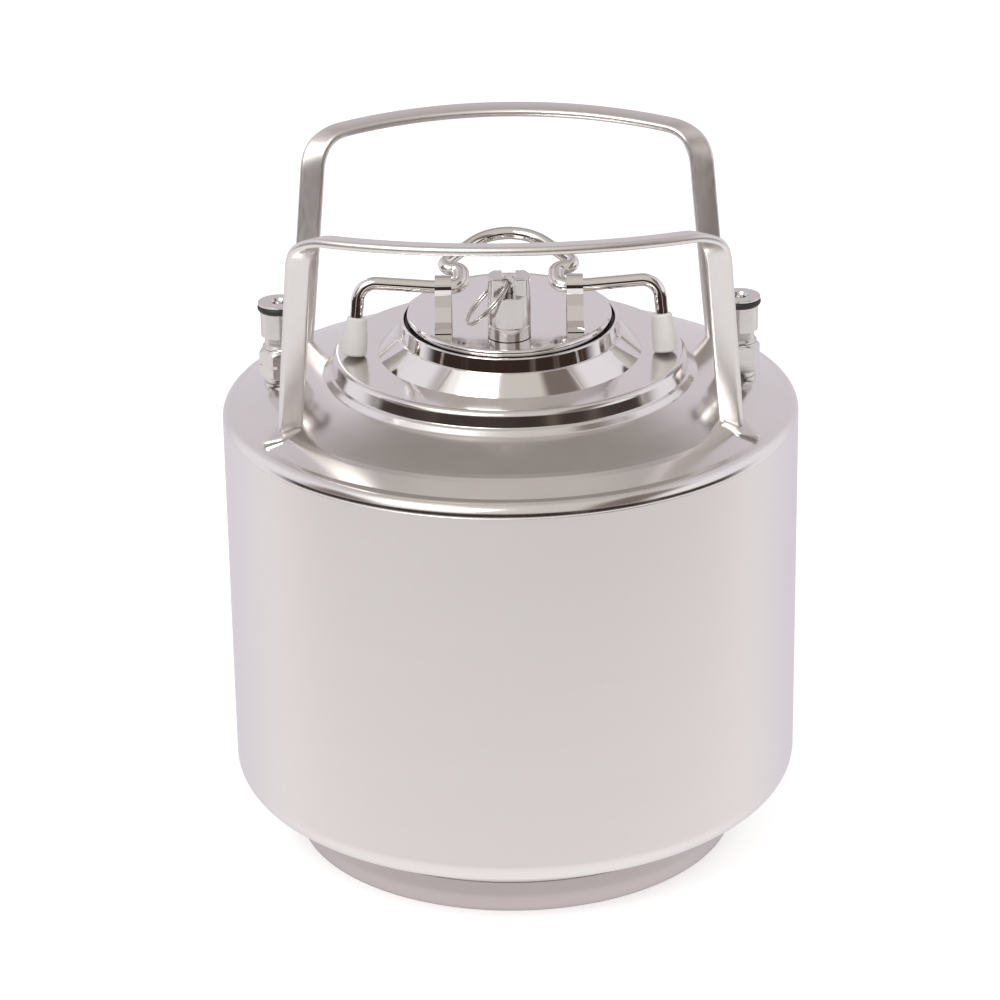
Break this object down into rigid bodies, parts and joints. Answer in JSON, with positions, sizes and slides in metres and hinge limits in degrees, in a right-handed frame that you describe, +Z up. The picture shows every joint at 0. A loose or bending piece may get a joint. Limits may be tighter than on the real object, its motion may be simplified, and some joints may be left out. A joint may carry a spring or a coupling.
{
  "type": "beer keg",
  "caption": "Small stainless ball-lock beer keg with two fixed grab handles, twin valve posts, and an oval lid held by a wire bail with a pull-ring relief valve.",
  "frame": {"origin": "on the floor, at the centre of the base ring", "axes": "+Z up along the keg's axis; +X from the gas post to the liquid post; the front of the keg towards -Y"},
  "size_m": [0.222, 0.222, 0.2686],
  "materials": {
    "satin_steel": "fine satin, bead-blasted stainless steel",
    "polished_steel": "mirror-polished stainless steel",
    "brushed_handle_steel": "satin stainless steel brushed along the strap",
    "machined_steel": "turned and lightly polished stainless steel",
    "spring_steel": "drawn stainless wire",
    "black_rubber": "matt black nitrile rubber",
    "ivory_boot": "milky ivory moulded vinyl"
  },
  "bodies": {
    "keg": {"body_shell": "satin_steel", "top_dome": "polished_steel", "neck": "polished_steel", "base_ring": "satin_steel", "front_handle": "brushed_handle_steel", "rear_handle": "brushed_handle_steel", "gas_bung": "machined_steel", "gas_post": "machined_steel", "gas_post_oring": "black_rubber", "gas_dip_tube": "machined_steel", "gas_dip_tube_oring": "black_rubber", "gas_poppet_spring": "spring_steel", "liquid_bung": "machined_steel", "liquid_post": "machined_steel", "liquid_post_oring": "black_rubber", "liquid_dip_tube": "machined_steel", "liquid_dip_tube_oring": "black_rubber", "liquid_poppet_spring": "spring_steel"},
    "gas_poppet": {"gas_poppet": "machined_steel"},
    "liquid_poppet": {"liquid_poppet": "machined_steel"},
    "lid": {"lid_pan": "polished_steel", "lid_seal": "black_rubber", "left_bracket": "polished_steel", "right_bracket": "polished_steel", "prv_base": "machined_steel", "prv_body": "machined_steel", "prv_spring": "spring_steel"},
    "relief_stem": {"prv_stem": "machined_steel", "prv_seal": "black_rubber"},
    "pull_ring": {"pull_ring": "spring_steel"},
    "bail": {"bail_wire": "polished_steel", "left_boot": "ivory_boot", "right_boot": "ivory_boot"}
  },
  "joints": [
    {"name": "lid_release", "type": "slide", "parent": "keg", "child": "lid", "axis": [0, 0, -1], "range_m": [0, 0.0009]},
    {"name": "bail_hinge", "type": "hinge", "parent": "lid", "child": "bail", "pos_m": [0, -0.004, 0.224], "axis": [1, 0, 0], "range_deg": [0, 95]},
    {"name": "relief_lift", "type": "slide", "parent": "lid", "child": "relief_stem", "axis": [0, 0, 1], "range_m": [0, 0.0025], "stiffness_N_per_m": 1000, "springref_m": -0.002, "deforming": ["prv_spring"]},
    {"name": "pull_ring_swing", "type": "hinge", "parent": "relief_stem", "child": "pull_ring", "pos_m": [0, -0.027, 0.234], "axis": [0, 1, 0], "range_deg": [0, 270]},
    {"name": "gas_poppet_press", "type": "slide", "parent": "keg", "child": "gas_poppet", "axis": [0, 0, -1], "range_m": [0, 0.003], "stiffness_N_per_m": 1500, "springref_m": -0.002, "deforming": ["gas_poppet_spring"]},
    {"name": "liquid_poppet_press", "type": "slide", "parent": "keg", "child": "liquid_poppet", "axis": [0, 0, -1], "range_m": [0, 0.003], "stiffness_N_per_m": 1500, "springref_m": -0.002, "deforming": ["liquid_poppet_spring"]}
  ],
  "couplings": [
    {"joint": "bail_hinge", "follows": "lid_release", "rad_per_m": 1842}
  ]
}
